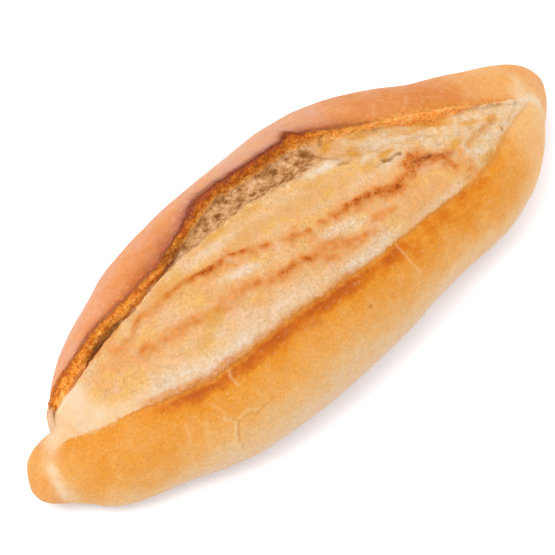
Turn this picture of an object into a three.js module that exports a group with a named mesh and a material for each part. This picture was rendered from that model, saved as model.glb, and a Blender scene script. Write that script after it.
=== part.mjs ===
// Turkish bread: a plain white loaf with pointed ends, one long slash along
// the top that has burst open, and a raised flap of crust on its far side.
// Millimetres. +X runs along the loaf, +Y to the side the flap stands on,
// +Z up; the underside rests on z = 0 and the origin is under the middle.
import * as THREE from 'three';

// ---- sizes ---------------------------------------------------------------
const LENGTH = 300;                 // tip to tip
const HALF = LENGTH / 2;
const MID_SHIFT = -1.55;            // brings the middle of the width onto y = 0
const TIP_ROUNDING = 15;            // exponent; higher = blunter tips
const DOME_POWER = 2.25;            // superellipse of the upper crust
const FOOT_POWER = 2.2;             // superellipse of the tuck under the loaf
const BASE_RATIO = 0.66;            // flat underside against the widest width
const BLOOM_RISE = 0.9;             // burst surface above the crust at its rim
const VALLEY_DEPTH = 1.0;           // fold in the crust just outside the rim
const VALLEY_WIDTH = 2.6;
const RIDGE_HEIGHT = 1.0;           // toasted ridges along the burst surface
const RIDGE_WIDTH = [2.0, 2.4];
const OPEN_FROM = [-138, -126];     // where the burst surface begins
const OPEN_TO = [118, 126];         // where it closes again
const EDGE_LIMIT = 0.86;            // no edge runs further out than this share of the width
const EDGE_GAP = 0.9;               // least distance between neighbouring edges

// the loaf's body, station by station
const BODY_X = [-150, -142, -135, -130, -127.3, -125.4, -122, -113, -100, -84, -66, -46, -26, -6, 15, 35, 55, 75,
  90, 105, 120, 136, 150];
const NEAR_W = [14.4, 15.9, 20, 25.6, 28.1, 29.3, 31, 34.3, 38.7, 45.7, 51.7, 53.8, 54.7, 54.2, 52.9, 50, 47.9,
  47.1, 44.8, 39.6, 31, 19.1, 10.6];
const FAR_W = [12.7, 16.9, 16.3, 15, 14.6, 21, 24, 31.8, 39.4, 45.3, 51.7, 54.7, 56.5, 57.2, 57.8, 56.3, 50.7, 41.3,
  31.6, 25.8, 20.5, 16.7, 15.2];
const TOP_Z = [27, 29, 31.2, 33.3, 34.7, 35.6, 37.2, 42, 48, 54.3, 58.9, 62, 63.9, 64.9, 64.8, 64.1, 62.5, 59.5, 56,
  51.3, 45, 37.1, 29];
const WIDEST_Z = [13, 13.5, 14.2, 14.9, 15.3, 15.5, 16, 17.1, 19, 21, 22.8, 24.2, 25, 25, 25, 25, 24.9, 24, 23,
  21.4, 19, 16.3, 14];
const FOOT_Z = [6, 4.4, 3, 2.3, 2, 1.8, 1.4, 0.7, 0, 0, 0, 0, 0, 0, 0, 0, 0, 0, 0, 0, 1.3, 3.3, 6];

// near rim of the slash
const RIM = [[-140, 4], [-129, 1.7], [-119, -6], [-104.5, -12.6], [-90, -19.7], [-82, -23.4], [-66, -27.6],
  [-38, -29.1], [-8, -31.7], [20, -32.8], [50, -32.2], [71, -32.5], [76, -31.2], [87, -28.3], [98, -23.8],
  [109, -19.2], [122, -15.3], [132, -12.6], [150, -6]];
// free edge of the flap
const LIP = [[-138, 13.5], [-129, 14], [-125.5, 19.2], [-122, 21.6], [-118, 22.7], [-109, 23.1], [-93, 24.9],
  [-78, 24.2], [-61, 24.6], [-44, 29.4], [-35, 33.4], [-26, 37.5], [-17, 37.5], [0, 34.9], [17, 32.6], [23, 34.9],
  [27, 30.6], [34, 25.3], [42, 20.8], [51, 15.6], [60, 10.8], [69, 6.8], [78, 2.8], [88, -1.3], [98, -6.2],
  [109, -9.6], [121, -12.4], [132, -9.5], [150, 0]];
// height of that edge above the crust it lifted from
const LIP_RISE = [[-150, 0], [-128, 0], [-125, 3.2], [-110, 3.4], [-80, 3.4], [-45, 3.6], [-25, 5.5], [5, 6.5],
  [25, 6], [45, 3], [70, 1.8], [95, 1.2], [115, 0.6], [122, 0], [150, 0]];
// foot of the torn face under the flap
const FOOT = [[-138, 12], [-127, 13.5], [-124, 16.8], [-116, 17.2], [-109, 17.6], [-93, 20.2], [-78, 19.9],
  [-61, 22.4], [-44, 26], [-34, 29.2], [-25, 32.6], [-16, 33.4], [1, 31.4], [19, 29.8], [28, 27.4], [36, 21.8],
  [44, 16.6], [55, 10.8], [70, 3.6], [88, -3.9], [109, -11.6], [122, -13.5], [132, -10.6], [150, -2]];
// near edge of the torn hollow in front of that face
const HOLLOW = [[-138, 10], [-125, 13.2], [-60, 19.8], [-50, 21], [-31, 20], [-18, 19.3], [-5, 17.2], [5, 15.4],
  [14, 13.4], [25, 12.4], [33, 6.6], [41, 2.4], [50, -2], [68, -8.5], [88, -13.2], [110, -14.9], [122, -14.4],
  [132, -11.6], [150, -4]];
// foot below the dome, and the extra sag of the hollow
const FOOT_DROP = [[-150, 0], [-127, 0], [-124, 1.2], [-100, 1.8], [-60, 2], [-45, 2.4], [-25, 3.2], [0, 3.4],
  [25, 3], [45, 2.2], [70, 1.6], [95, 1.2], [115, 0.6], [122, 0], [150, 0]];
const HOLLOW_SAG = [[-150, 0], [-127, 0], [-124, 1], [-100, 1.6], [-60, 1.8], [-45, 2.2], [-25, 3.2], [0, 3.6],
  [25, 3.6], [45, 2.4], [70, 1.8], [95, 1.2], [115, 0.5], [122, 0], [150, 0]];
// the two toasted ridges, and where each runs
const RIDGE_1 = [[-99, 8], [-95, 9.8], [-88, 9.8], [-77, 12.9], [-70, 11.4], [-57, 10.8], [-50, 9.6], [-45, 7.6],
  [-35, 6], [-30, 4], [-25, 0.6], [-19, -1.6], [-14, -4.6], [-5, -7.6], [5, -8.8], [20, -10.8], [30, -12.2],
  [40, -15.9], [47, -15.8], [54, -12.6], [60, -14.6], [65, -18], [73, -18.2]];
const RIDGE_2 = [[-94, 1], [-85, 1.4], [-80, -1.4], [-68, -3.4], [-60, -6.4], [-50, -8], [-40, -9.1], [-30, -13.4],
  [-17, -15.4], [-10, -17.6], [-2, -22], [5, -24], [15, -25], [47, -26.4]];
const RIDGE_SPAN = [[-100, -90, 66, 74], [-96, -86, 40, 52]];

// facets: points along each arc of a cross-section, and stations along x
const ARC = { tuckNear: 4, near: 10, bloom: 12, hollow: 4, face: 3, far: 8, tuckFar: 4, base: 3 };
const TIP_ZONE = 22;                // the last stretch at each tip is spaced by angle
const TIP_STEPS = 9;
const MID_STEPS = 72;

// ---- curves --------------------------------------------------------------
const clamp = (v, a, b) => Math.min(b, Math.max(a, v));
const lerp = (a, b, t) => a + (b - a) * t;
const ramp = (a, b, v) => { const t = clamp((v - a) / (b - a), 0, 1); return t * t * (3 - 2 * t); };

// monotone cubic through stations (xs rising); flat beyond the ends
function curve(xs, ys) {
  const n = xs.length;
  const h = []; const d = []; const m = new Array(n).fill(0);
  for (let i = 0; i < n - 1; i++) { h[i] = xs[i + 1] - xs[i]; d[i] = (ys[i + 1] - ys[i]) / h[i]; }
  for (let i = 1; i < n - 1; i++) {
    if (d[i - 1] * d[i] <= 0) continue;
    const w1 = 2 * h[i] + h[i - 1]; const w2 = h[i] + 2 * h[i - 1];
    m[i] = (w1 + w2) / (w1 / d[i - 1] + w2 / d[i]);
  }
  m[0] = d[0]; m[n - 1] = d[n - 2];
  return (x) => {
    if (x <= xs[0]) return ys[0];
    if (x >= xs[n - 1]) return ys[n - 1];
    let i = 0;
    while (x > xs[i + 1]) i++;
    const t = (x - xs[i]) / h[i];
    const t2 = t * t; const t3 = t2 * t;
    return (2 * t3 - 3 * t2 + 1) * ys[i] + (t3 - 2 * t2 + t) * h[i] * m[i]
      + (-2 * t3 + 3 * t2) * ys[i + 1] + (t3 - t2) * h[i] * m[i + 1];
  };
}
const through = (pairs) => curve(pairs.map((p) => p[0]), pairs.map((p) => p[1]));
const nearW = curve(BODY_X, NEAR_W); const farW = curve(BODY_X, FAR_W);
const topZ = curve(BODY_X, TOP_Z); const widestZ = curve(BODY_X, WIDEST_Z); const footZ = curve(BODY_X, FOOT_Z);
const rimY = through(RIM); const lipY = through(LIP); const lipRise = through(LIP_RISE);
const footY = through(FOOT); const hollowY = through(HOLLOW);
const footDrop = through(FOOT_DROP); const hollowSag = through(HOLLOW_SAG);
const ridge = [through(RIDGE_1), through(RIDGE_2)];

// ---- one cross-section ---------------------------------------------------
// Everything below is measured in the section plane at station x; the whole
// section is then drawn in towards the tip.
function body(x) {
  return { near: nearW(x), far: farW(x), top: topZ(x), widest: widestZ(x), foot: footZ(x) };
}
// psi runs 0 at the widest point of the near side, over the top, to PI at the far side
function domeAt(psi, b) {
  const c = Math.cos(psi); const s = Math.sin(psi);
  const a = c >= 0 ? b.near : b.far;
  return [-Math.sign(c) * a * Math.abs(c) ** (2 / DOME_POWER),
    b.widest + (b.top - b.widest) * Math.abs(s) ** (2 / DOME_POWER)];
}
function psiOf(y, b) {
  if (y < 0) return Math.acos(clamp(-y / b.near, 0, 1) ** (DOME_POWER / 2));
  return Math.PI - Math.acos(clamp(y / b.far, 0, 1) ** (DOME_POWER / 2));
}
const domeZ = (y, b) => domeAt(psiOf(y, b), b)[1];
// phi runs 0 at the widest point to PI/2 at the edge of the flat underside
function tuckAt(phi, side, b) {
  const a = side < 0 ? b.near : b.far;
  return [side * (a * BASE_RATIO + a * (1 - BASE_RATIO) * Math.abs(Math.cos(phi)) ** (2 / FOOT_POWER)),
    b.widest + (b.foot - b.widest) * Math.abs(Math.sin(phi)) ** (2 / FOOT_POWER)];
}
function bloomZ(y, x, b, q) {
  const d = y - q.rim;
  let z = domeZ(y, b) + BLOOM_RISE * q.open * ramp(0, 3.5, d);
  RIDGE_SPAN.forEach((s, i) => {
    const on = ramp(s[0], s[1], x) * (1 - ramp(s[2], s[3], x));
    z += RIDGE_HEIGHT * on * Math.exp(-(((y - ridge[i](x)) / RIDGE_WIDTH[i]) ** 2)) * ramp(0, 3, d);
  });
  return z;
}
function section(x) {
  const b = body(x);
  const q = { rim: Math.max(rimY(x), -EDGE_LIMIT * b.near), open: ramp(OPEN_FROM[0], OPEN_FROM[1], x) * (1 - ramp(OPEN_TO[0], OPEN_TO[1], x)) };
  q.lip = Math.min(lipY(x), EDGE_LIMIT * b.far);
  q.hollow = clamp(hollowY(x), q.rim + EDGE_GAP, q.lip - 2 * EDGE_GAP);
  q.foot = clamp(footY(x), q.hollow + EDGE_GAP, q.lip - EDGE_GAP);
  const rise = lipRise(x);
  const pts = [];
  const arc = (n, f) => { for (let i = 0; i < n; i++) pts.push(f(i / n)); };
  arc(ARC.tuckNear, (t) => tuckAt((1 - t) * Math.PI / 2, -1, b));
  const psiRim = psiOf(q.rim, b);
  arc(ARC.near, (t) => {
    const [y, z] = domeAt(psiRim * (1 - (1 - t) ** 1.6), b);
    const d = q.rim - y;
    return [y, z - VALLEY_DEPTH * q.open * Math.exp(-(((d - 1.2) / VALLEY_WIDTH) ** 2)) * ramp(0, 0.6, d)];
  });
  arc(ARC.bloom, (t) => { const y = lerp(q.rim, q.hollow, t); return [y, bloomZ(y, x, b, q)]; });
  const zHollow = bloomZ(q.hollow, x, b, q);
  const zFoot = domeZ(q.foot, b) - footDrop(x);
  arc(ARC.hollow, (t) => [lerp(q.hollow, q.foot, t),
    lerp(zHollow, zFoot, t) - hollowSag(x) * Math.sin(Math.PI * t ** 1.15)]);
  const psiLip = psiOf(q.lip, b);
  const zLip = domeAt(psiLip, b)[1] + rise;
  arc(ARC.face, (t) => [lerp(q.foot, q.lip, t) - 0.12 * rise * Math.sin(Math.PI * t),
    lerp(zFoot, zLip, t) + 0.25 * rise * Math.sin(Math.PI * t)]);
  arc(ARC.far, (t) => {
    const u = t ** 1.2;
    const [y, z] = domeAt(lerp(psiLip, Math.PI, u), b);
    return [y, z + rise * clamp(1 - u * 1.25, 0, 1) ** 1.6];
  });
  arc(ARC.tuckFar, (t) => tuckAt(t * Math.PI / 2, 1, b));
  arc(ARC.base, (t) => [lerp(b.far * BASE_RATIO, -b.near * BASE_RATIO, t), b.foot]);
  // draw the section in towards the tip
  const r = Math.sqrt(clamp(1 - Math.abs(x / HALF) ** TIP_ROUNDING, 0, 1));
  const yc = (b.far - b.near) / 2;
  return pts.map(([y, z]) => [yc + (y - yc) * r, b.widest + (z - b.widest) * r]);
}

// ---- stations ------------------------------------------------------------
function stations() {
  const xs = [];
  const edge = HALF - TIP_ZONE;
  for (let i = 1; i <= TIP_STEPS; i++) xs.push(-edge - TIP_ZONE * Math.cos((i / TIP_STEPS) * Math.PI / 2));
  // closer together where the flap ends, at the left of the slash
  for (let i = 1; i < MID_STEPS; i++) {
    const u = i / MID_STEPS;
    xs.push(-edge + 2 * edge * (u + 0.55 * (u ** 1.35 - u) * (1 - u) ** 3));
  }
  for (let i = TIP_STEPS; i >= 1; i--) xs.push(edge + TIP_ZONE * Math.cos((i / TIP_STEPS) * Math.PI / 2));
  return xs;
}

// ---- the loaf ------------------------------------------------------------
function loafGeometry() {
  const xs = stations();
  const rows = xs.map(section);
  const n = rows[0].length;
  const pos = [];
  rows.forEach((row, i) => row.forEach(([y, z]) => pos.push(xs[i], y + MID_SHIFT, z)));
  const tip = (x) => { const b = body(x); pos.push(x, (b.far - b.near) / 2 + MID_SHIFT, b.widest); return pos.length / 3 - 1; };
  const left = tip(-HALF); const right = tip(HALF);
  const index = [];
  for (let i = 0; i < rows.length - 1; i++) {
    for (let j = 0; j < n; j++) {
      const a = i * n + j; const c = i * n + ((j + 1) % n);
      index.push(a, a + n, c, c, a + n, c + n);
    }
  }
  const last = (rows.length - 1) * n;
  for (let j = 0; j < n; j++) {
    const k = (j + 1) % n;
    index.push(left, j, k, right, last + k, last + j);
  }
  const g = new THREE.BufferGeometry();
  g.setAttribute('position', new THREE.Float32BufferAttribute(pos, 3));
  g.setIndex(index);
  g.computeVertexNormals();
  return g;
}

const loaf = new THREE.Mesh(
  loafGeometry(),
  new THREE.MeshStandardMaterial({ name: 'baked_crust', color: 0xe9a866, roughness: 0.72, metalness: 0 }),
);
loaf.name = 'loaf';

const group = new THREE.Group();
group.name = 'turkish_bread';
group.add(loaf);
export default group;
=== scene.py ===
import math
import bpy
import numpy as np
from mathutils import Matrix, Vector


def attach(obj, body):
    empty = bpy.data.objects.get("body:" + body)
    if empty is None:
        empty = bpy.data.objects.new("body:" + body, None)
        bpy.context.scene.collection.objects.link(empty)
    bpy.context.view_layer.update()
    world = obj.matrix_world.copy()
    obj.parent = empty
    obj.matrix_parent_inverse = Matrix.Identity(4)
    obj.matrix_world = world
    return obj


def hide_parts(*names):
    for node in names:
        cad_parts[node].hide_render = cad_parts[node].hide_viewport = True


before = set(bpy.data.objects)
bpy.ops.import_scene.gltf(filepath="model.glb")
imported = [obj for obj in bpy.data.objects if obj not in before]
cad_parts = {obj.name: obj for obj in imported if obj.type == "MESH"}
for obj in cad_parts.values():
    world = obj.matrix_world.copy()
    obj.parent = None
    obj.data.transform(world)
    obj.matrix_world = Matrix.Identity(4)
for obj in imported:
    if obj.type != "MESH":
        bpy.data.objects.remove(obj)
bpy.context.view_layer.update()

MM = 0.001

# ------------------------------------------------------------------ camera
# The view looks down at 60 degrees, turned 43 degrees about the loaf.
AZ, EL = math.radians(43.1), math.radians(60.0)
cam_data = bpy.data.cameras.new("camera")
cam_data.sensor_width = 36.0
cam_data.lens = 151.697
cam_data.clip_start, cam_data.clip_end = 0.05, 20.0
cam = bpy.data.objects.new("camera", cam_data)
bpy.context.scene.collection.objects.link(cam)
cam.location = (-0.352928, -0.363083 - 0.00155, 0.890413)
look = Vector((math.sin(AZ) * math.cos(EL), math.cos(AZ) * math.cos(EL), -math.sin(EL)))
cam.rotation_euler = look.to_track_quat("-Z", "Y").to_euler()
bpy.context.scene.camera = cam

# ------------------------------------------------------------------- sizes
# Millimetres, the same stations as the solid.
HALF = 150.0
MID_SHIFT = -1.55
TIP_ROUNDING = 15
DOME_POWER, FOOT_POWER, BASE_RATIO = 2.25, 2.2, 0.66
BLOOM_RISE, VALLEY_DEPTH, VALLEY_WIDTH = 0.9, 1.0, 2.6
RIDGE_HEIGHT, RIDGE_WIDTH = 1.0, (2.0, 2.4)
EDGE_LIMIT, EDGE_GAP = 0.86, 0.9
BODY_X = [-150, -142, -135, -130, -127.3, -125.4, -122, -113, -100, -84, -66, -46, -26, -6, 15, 35, 55, 75, 90, 105, 120,
          136, 150]
NEAR_W = [14.4, 15.9, 20, 25.6, 28.1, 29.3, 31, 34.3, 38.7, 45.7, 51.7, 53.8, 54.7, 54.2, 52.9, 50, 47.9, 47.1, 44.8, 39.6,
          31, 19.1, 10.6]
FAR_W = [12.7, 16.9, 16.3, 15, 14.6, 21, 24, 31.8, 39.4, 45.3, 51.7, 54.7, 56.5, 57.2, 57.8, 56.3, 50.7, 41.3, 31.6, 25.8,
         20.5, 16.7, 15.2]
TOP_Z = [27, 29, 31.2, 33.3, 34.7, 35.6, 37.2, 42, 48, 54.3, 58.9, 62, 63.9, 64.9, 64.8, 64.1, 62.5, 59.5, 56, 51.3, 45,
         37.1, 29]
WIDEST_Z = [13, 13.5, 14.2, 14.9, 15.3, 15.5, 16, 17.1, 19, 21, 22.8, 24.2, 25, 25, 25, 25, 24.9, 24, 23, 21.4, 19, 16.3,
            14]
FOOT_Z = [6, 4.4, 3, 2.3, 2, 1.8, 1.4, 0.7, 0, 0, 0, 0, 0, 0, 0, 0, 0, 0, 0, 0, 1.3, 3.3, 6]
RIM = [(-140, 4), (-129, 1.7), (-119, -6), (-104.5, -12.6), (-90, -19.7), (-82, -23.4), (-66, -27.6), (-38, -29.1),
       (-8, -31.7), (20, -32.8), (50, -32.2), (71, -32.5), (76, -31.2), (87, -28.3), (98, -23.8), (109, -19.2),
       (122, -15.3), (132, -12.6), (150, -6)]
LIP = [(-138, 13.5), (-129, 14), (-125.5, 19.2), (-122, 21.6), (-118, 22.7), (-109, 23.1), (-93, 24.9), (-78, 24.2),
       (-61, 24.6), (-44, 29.4), (-35, 33.4), (-26, 37.5), (-17, 37.5), (0, 34.9), (17, 32.6), (23, 34.9), (27, 30.6),
       (34, 25.3), (42, 20.8), (51, 15.6), (60, 10.8), (69, 6.8), (78, 2.8), (88, -1.3), (98, -6.2), (109, -9.6),
       (121, -12.4), (132, -9.5), (150, 0)]
LIP_RISE = [(-150, 0), (-128, 0), (-125, 3.2), (-110, 3.4), (-80, 3.4), (-45, 3.6), (-25, 5.5), (5, 6.5), (25, 6),
            (45, 3), (70, 1.8), (95, 1.2), (115, 0.6), (122, 0), (150, 0)]
FOOT = [(-138, 12), (-127, 13.5), (-124, 16.8), (-116, 17.2), (-109, 17.6), (-93, 20.2), (-78, 19.9), (-61, 22.4),
        (-44, 26), (-34, 29.2), (-25, 32.6), (-16, 33.4), (1, 31.4), (19, 29.8), (28, 27.4), (36, 21.8), (44, 16.6),
        (55, 10.8), (70, 3.6), (88, -3.9), (109, -11.6), (122, -13.5), (132, -10.6), (150, -2)]
HOLLOW = [(-138, 10), (-125, 13.2), (-60, 19.8), (-50, 21), (-31, 20), (-18, 19.3), (-5, 17.2), (5, 15.4), (14, 13.4),
          (25, 12.4), (33, 6.6), (41, 2.4), (50, -2), (68, -8.5), (88, -13.2), (110, -14.9), (122, -14.4), (132, -11.6),
          (150, -4)]
FOOT_DROP = [(-150, 0), (-127, 0), (-124, 1.2), (-100, 1.8), (-60, 2), (-45, 2.4), (-25, 3.2), (0, 3.4), (25, 3),
             (45, 2.2), (70, 1.6), (95, 1.2), (115, 0.6), (122, 0), (150, 0)]
HOLLOW_SAG = [(-150, 0), (-127, 0), (-124, 1), (-100, 1.6), (-60, 1.8), (-45, 2.2), (-25, 3.2), (0, 3.6), (25, 3.6),
              (45, 2.4), (70, 1.8), (95, 1.2), (115, 0.5), (122, 0), (150, 0)]
RIDGE_1 = [(-99, 8), (-95, 9.8), (-88, 9.8), (-77, 12.9), (-70, 11.4), (-57, 10.8), (-50, 9.6), (-45, 7.6), (-35, 6),
           (-30, 4), (-25, 0.6), (-19, -1.6), (-14, -4.6), (-5, -7.6), (5, -8.8), (20, -10.8), (30, -12.2), (40, -15.9),
           (47, -15.8), (54, -12.6), (60, -14.6), (65, -18), (73, -18.2)]
RIDGE_2 = [(-94, 1), (-85, 1.4), (-80, -1.4), (-68, -3.4), (-60, -6.4), (-50, -8), (-40, -9.1), (-30, -13.4), (-17, -15.4),
           (-10, -17.6), (-2, -22), (5, -24), (15, -25), (47, -26.4)]
RIDGE_SPAN = ((-100, -90, 66, 74), (-96, -86, 40, 52))


# ------------------------------------------------------------------- noise
def lattice(i, j, k, seed):
    h = (i.astype(np.int64) * 374761393 + j.astype(np.int64) * 668265263 + k.astype(np.int64) * 1440662683
         + seed * 1274126177) & 0xFFFFFFFF
    h = ((h ^ (h >> 13)) * 1274126177) & 0xFFFFFFFF
    h = ((h ^ (h >> 16)) * 2246822519) & 0xFFFFFFFF
    return (h ^ (h >> 15)) & 0xFFFFFFFF


def unit(h):
    return (h & 0xFFFFFF) / float(0x1000000)


def noise(p, size, seed=0):
    """smooth noise, about -1..1, with features of the given size in mm"""
    q = np.asarray(p, float) / size
    c = np.floor(q)
    f = q - c
    w = f * f * f * (f * (f * 6 - 15) + 10)
    c = c.astype(np.int64)
    out = np.zeros(q.shape[:-1])
    for dx in (0, 1):
        for dy in (0, 1):
            for dz in (0, 1):
                h = lattice(c[..., 0] + dx, c[..., 1] + dy, c[..., 2] + dz, seed)
                a = unit(h) * 2 * np.pi
                z = unit(h >> 5) * 2 - 1
                r = np.sqrt(1 - z * z)
                d = (r * np.cos(a) * (f[..., 0] - dx) + r * np.sin(a) * (f[..., 1] - dy) + z * (f[..., 2] - dz))
                out += (d * (w[..., 0] if dx else 1 - w[..., 0]) * (w[..., 1] if dy else 1 - w[..., 1])
                        * (w[..., 2] if dz else 1 - w[..., 2]))
    return out * 1.6


def fbm(p, size, octaves=3, seed=0, gain=0.5):
    out, amp, total = 0, 1.0, 0
    for o in range(octaves):
        out = out + amp * noise(p, size / 2 ** o, seed + 17 * o)
        total += amp
        amp *= gain
    return out / total


def cells(p, size, seed=0):
    """distance to the nearest scattered point, in cell sizes, and that point's own number"""
    q = np.asarray(p, float) / size
    c = np.floor(q).astype(np.int64)
    best = np.full(q.shape[:-1], 9.0)
    mine = np.zeros(q.shape[:-1])
    for dx in (-1, 0, 1):
        for dy in (-1, 0, 1):
            for dz in (-1, 0, 1):
                h = lattice(c[..., 0] + dx, c[..., 1] + dy, c[..., 2] + dz, seed)
                px = c[..., 0] + dx + unit(h)
                py = c[..., 1] + dy + unit(h >> 4)
                pz = c[..., 2] + dz + unit(h >> 8)
                d = np.sqrt((q[..., 0] - px) ** 2 + (q[..., 1] - py) ** 2 + (q[..., 2] - pz) ** 2)
                near = d < best
                best = np.where(near, d, best)
                mine = np.where(near, unit(lattice(c[..., 0] + dx, c[..., 1] + dy, c[..., 2] + dz, seed + 5)), mine)
    return best, mine


def along(x, size, seed):
    """noise along the loaf's length only"""
    x = np.asarray(x, float)
    return noise(np.stack([x, np.full_like(x, 7.3), np.full_like(x, 3.1)], -1), size, seed)


# ------------------------------------------------------------------ curves
def ramp(a, b, v):
    t = np.clip((v - a) / (b - a), 0, 1)
    return t * t * (3 - 2 * t)


def band(a, b, c, d, v):
    """0 before a, 1 from b to c, 0 after d"""
    return ramp(a, b, v) * (1 - ramp(c, d, v))


def bump_at(v, mid, width):
    return np.exp(-((v - mid) / width) ** 2)


def lerp(a, b, t):
    return a + (b - a) * t


def curve(xs, ys, x):
    """monotone cubic through stations, flat beyond the ends"""
    xs = np.asarray(xs, float)
    ys = np.asarray(ys, float)
    x = np.clip(np.asarray(x, float), xs[0], xs[-1])
    h = np.diff(xs)
    d = np.diff(ys) / h
    m = np.zeros(len(xs))
    m[0], m[-1] = d[0], d[-1]
    for i in range(1, len(xs) - 1):
        if d[i - 1] * d[i] > 0:
            w1, w2 = 2 * h[i] + h[i - 1], h[i] + 2 * h[i - 1]
            m[i] = (w1 + w2) / (w1 / d[i - 1] + w2 / d[i])
    k = np.clip(np.searchsorted(xs, x, side="right") - 1, 0, len(xs) - 2)
    t = (x - xs[k]) / h[k]
    return (ys[k] * (1 + 2 * t) * (1 - t) ** 2 + m[k] * h[k] * t * (1 - t) ** 2
            + ys[k + 1] * t * t * (3 - 2 * t) + m[k + 1] * h[k] * t * t * (t - 1))


def through(pairs, x):
    return curve([p[0] for p in pairs], [p[1] for p in pairs], x)


# ---------------------------------------------------------- cross-sections
def body(x):
    b = {k: curve(BODY_X, v, x) for k, v in
         (("near", NEAR_W), ("far", FAR_W), ("top", TOP_Z), ("widest", WIDEST_Z), ("foot", FOOT_Z))}
    b["draw_in"] = np.sqrt(np.clip(1 - np.abs(x / HALF) ** TIP_ROUNDING, 0, 1))
    return b


def dome_at(psi, b):
    c, s = np.cos(psi), np.sin(psi)
    a = np.where(c >= 0, b["near"], b["far"])
    return (-np.sign(c) * a * np.abs(c) ** (2 / DOME_POWER),
            b["widest"] + (b["top"] - b["widest"]) * np.abs(s) ** (2 / DOME_POWER))


def psi_of(y, b):
    near = np.clip(-y / b["near"], 0, 1) ** (DOME_POWER / 2)
    far = np.clip(y / b["far"], 0, 1) ** (DOME_POWER / 2)
    return np.where(y < 0, np.arccos(near), np.pi - np.arccos(far))


def dome_z(y, b):
    return dome_at(psi_of(y, b), b)[1]


def tuck_at(phi, side, b):
    a = b["near"] if side < 0 else b["far"]
    return (side * (a * BASE_RATIO + a * (1 - BASE_RATIO) * np.abs(np.cos(phi)) ** (2 / FOOT_POWER)),
            b["widest"] + (b["foot"] - b["widest"]) * np.abs(np.sin(phi)) ** (2 / FOOT_POWER))


ARC = {"tuckNear": 11, "near": 48, "bloom": 68, "hollow": 28, "face": 12, "far": 26, "tuckFar": 7, "base": 6}
TIP_ZONE, TIP_STEPS, MID_STEPS = 24.0, 34, 404


def stations():
    edge = HALF - TIP_ZONE
    k = np.arange(1, TIP_STEPS + 1) / TIP_STEPS * np.pi / 2
    left = -edge - TIP_ZONE * np.cos(k)
    mid = -edge + 2 * edge * np.arange(1, MID_STEPS) / MID_STEPS
    return np.concatenate([left, mid, (edge + TIP_ZONE * np.cos(k))[::-1]])


X1 = stations()
x = X1[:, None]
B = body(x)
open_ = ramp(-138, -126, x) * (1 - ramp(118, 126, x))
torn = ramp(-127, -124, x) * (1 - ramp(112, 121, x))          # where the flap has a free edge
fuzzy = 0.35 + 0.65 * band(-110, -95, 0, 25, x)                # the rim is ragged on its left half
rim = through(RIM, x) + open_ * fuzzy * (0.8 * along(x, 5.0, 3) + 0.45 * along(x, 1.9, 4))
lip = through(LIP, x) + torn * (0.55 * along(x, 4.2, 11) + 0.35 * along(x, 1.7, 12))
foot = through(FOOT, x) + torn * (0.6 * along(x, 4.6, 21) + 0.4 * along(x, 2.0, 22))
hollow = through(HOLLOW, x) + torn * (1.3 * along(x, 7.0, 31) + 0.7 * along(x, 2.6, 32)) * ramp(-60, -45, x)
rise = through(LIP_RISE, x) * (1 + 0.10 * along(x, 5.0, 41) + 0.06 * along(x, 2.1, 42))
drop, sag = through(FOOT_DROP, x), through(HOLLOW_SAG, x)
rim = np.maximum(rim, -EDGE_LIMIT * B["near"])
lip = np.minimum(lip, EDGE_LIMIT * B["far"])
hollow = np.clip(hollow, rim + EDGE_GAP, np.maximum(lip - 2 * EDGE_GAP, rim + EDGE_GAP))
foot = np.clip(foot, hollow + EDGE_GAP, np.maximum(lip - EDGE_GAP, hollow + EDGE_GAP))
ridge_y = [through(RIDGE_1, x), through(RIDGE_2, x)]
ridge_on = [band(s[0], s[1], s[2], s[3], x) for s in RIDGE_SPAN]


def bloom_z(y):
    d = y - rim
    z = dome_z(y, B) + BLOOM_RISE * open_ * (0.3 + 0.7 * ramp(-116, -92, x)) * ramp(0, 3.5, d)
    for i in (0, 1):
        z = z + RIDGE_HEIGHT * ridge_on[i] * np.exp(-((y - ridge_y[i]) / RIDGE_WIDTH[i]) ** 2) * ramp(0, 3, d)
    return z


Y, Z, kind, share = [], [], [], []


def arc(name, f, spread=lambda t: t):
    n = ARC[name]
    t = spread(np.arange(n) / n)[None, :]
    y, z = f(t)
    Y.append(y + 0 * x + 0 * t)
    Z.append(z + 0 * x + 0 * t)
    kind.extend([name] * n)
    share.extend(list(t[0]))


def near_arc(t):
    y, z = dome_at(psi_of(rim, B) * t, B)
    d = rim - y
    return y, z - VALLEY_DEPTH * open_ * (0.3 + 0.7 * ramp(-116, -92, x)) * np.exp(-((d - 1.2) / VALLEY_WIDTH) ** 2) * ramp(0, 0.6, d)


def bloom_arc(t):
    y = lerp(rim, hollow, t)
    return y, bloom_z(y)


z_hollow, z_foot = bloom_z(hollow), dome_z(foot, B) - drop
crevice = torn * (0.9 + 1.4 * bump_at(x, -94, 8)) * (1 - ramp(-62, -44, x))


def hollow_arc(t):
    y = lerp(hollow, foot, t)
    z = lerp(z_hollow, z_foot, t) - sag * np.sin(np.pi * t ** 1.15)
    return y, z - crevice * np.exp(-((foot - y - 0.35) / 0.6) ** 2)


psi_lip = psi_of(lip, B)
z_lip = dome_at(psi_lip, B)[1] + rise


def face_arc(t):
    y = lerp(foot, lip, t) - 0.12 * rise * np.sin(np.pi * t)
    z = lerp(z_foot, z_lip, t) + 0.25 * rise * np.sin(np.pi * t)
    return y, z - crevice * np.exp(-((y - foot + 0.35) / 0.6) ** 2)


def far_arc(t):
    y, z = dome_at(lerp(psi_lip, np.pi, t), B)
    return y, z + rise * np.clip(1 - t * 1.25, 0, 1) ** 1.6


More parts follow.
